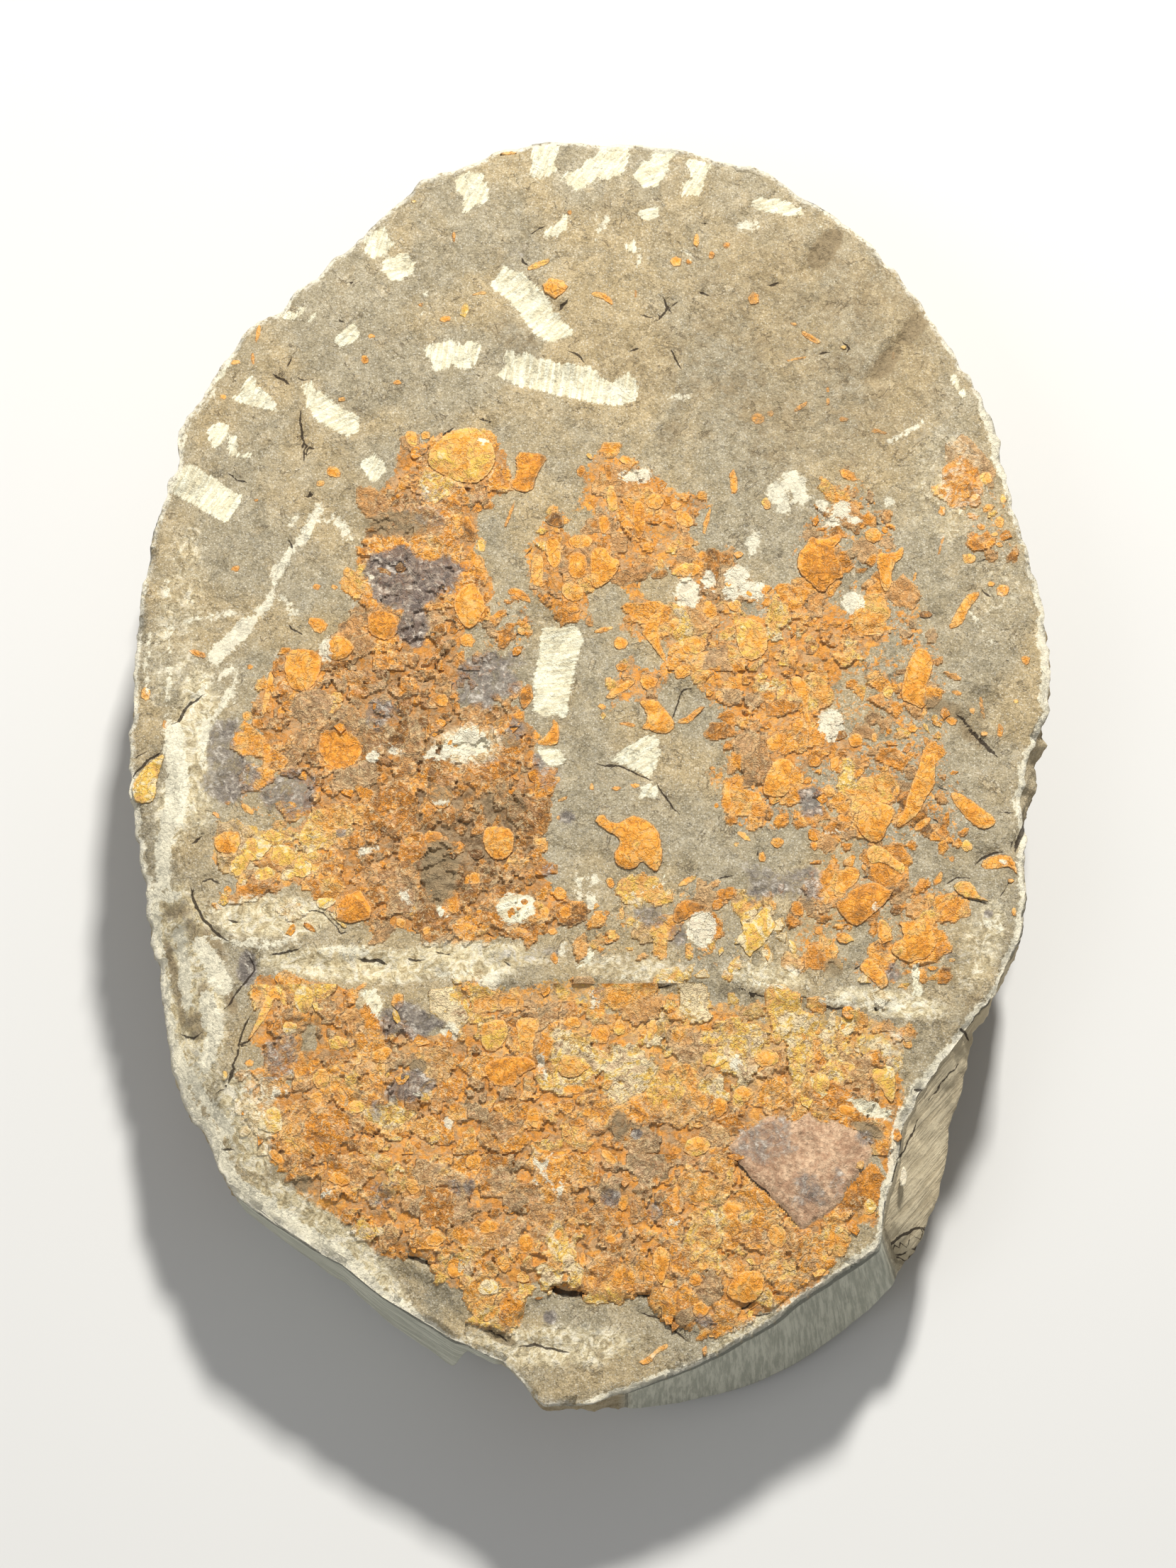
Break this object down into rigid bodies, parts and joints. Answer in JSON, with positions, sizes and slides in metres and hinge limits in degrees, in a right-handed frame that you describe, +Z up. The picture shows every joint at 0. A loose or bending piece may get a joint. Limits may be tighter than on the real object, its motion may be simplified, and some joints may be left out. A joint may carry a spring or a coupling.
{
  "type": "trilobite fossil slab",
  "caption": "Oval hand-trimmed siltstone slab whose bedding face is crowded with orange trilobite and shell fragments",
  "frame": {"origin": "On the resting plane, at the middle of the flat patch that the slab lies on", "axes": "+Z up out of the fossil face, +Y toward the broad rounded end, +X to the right when the narrow end is nearest"},
  "size_m": [0.2368, 0.338, 0.0468],
  "materials": {
    "siltstone": "Dull grey-olive siltstone with rust-orange limonite fragments, purple-grey stains and chalky chisel bruises"
  },
  "bodies": {
    "root": {"fossil_slab": "siltstone"}
  },
  "joints": []
}
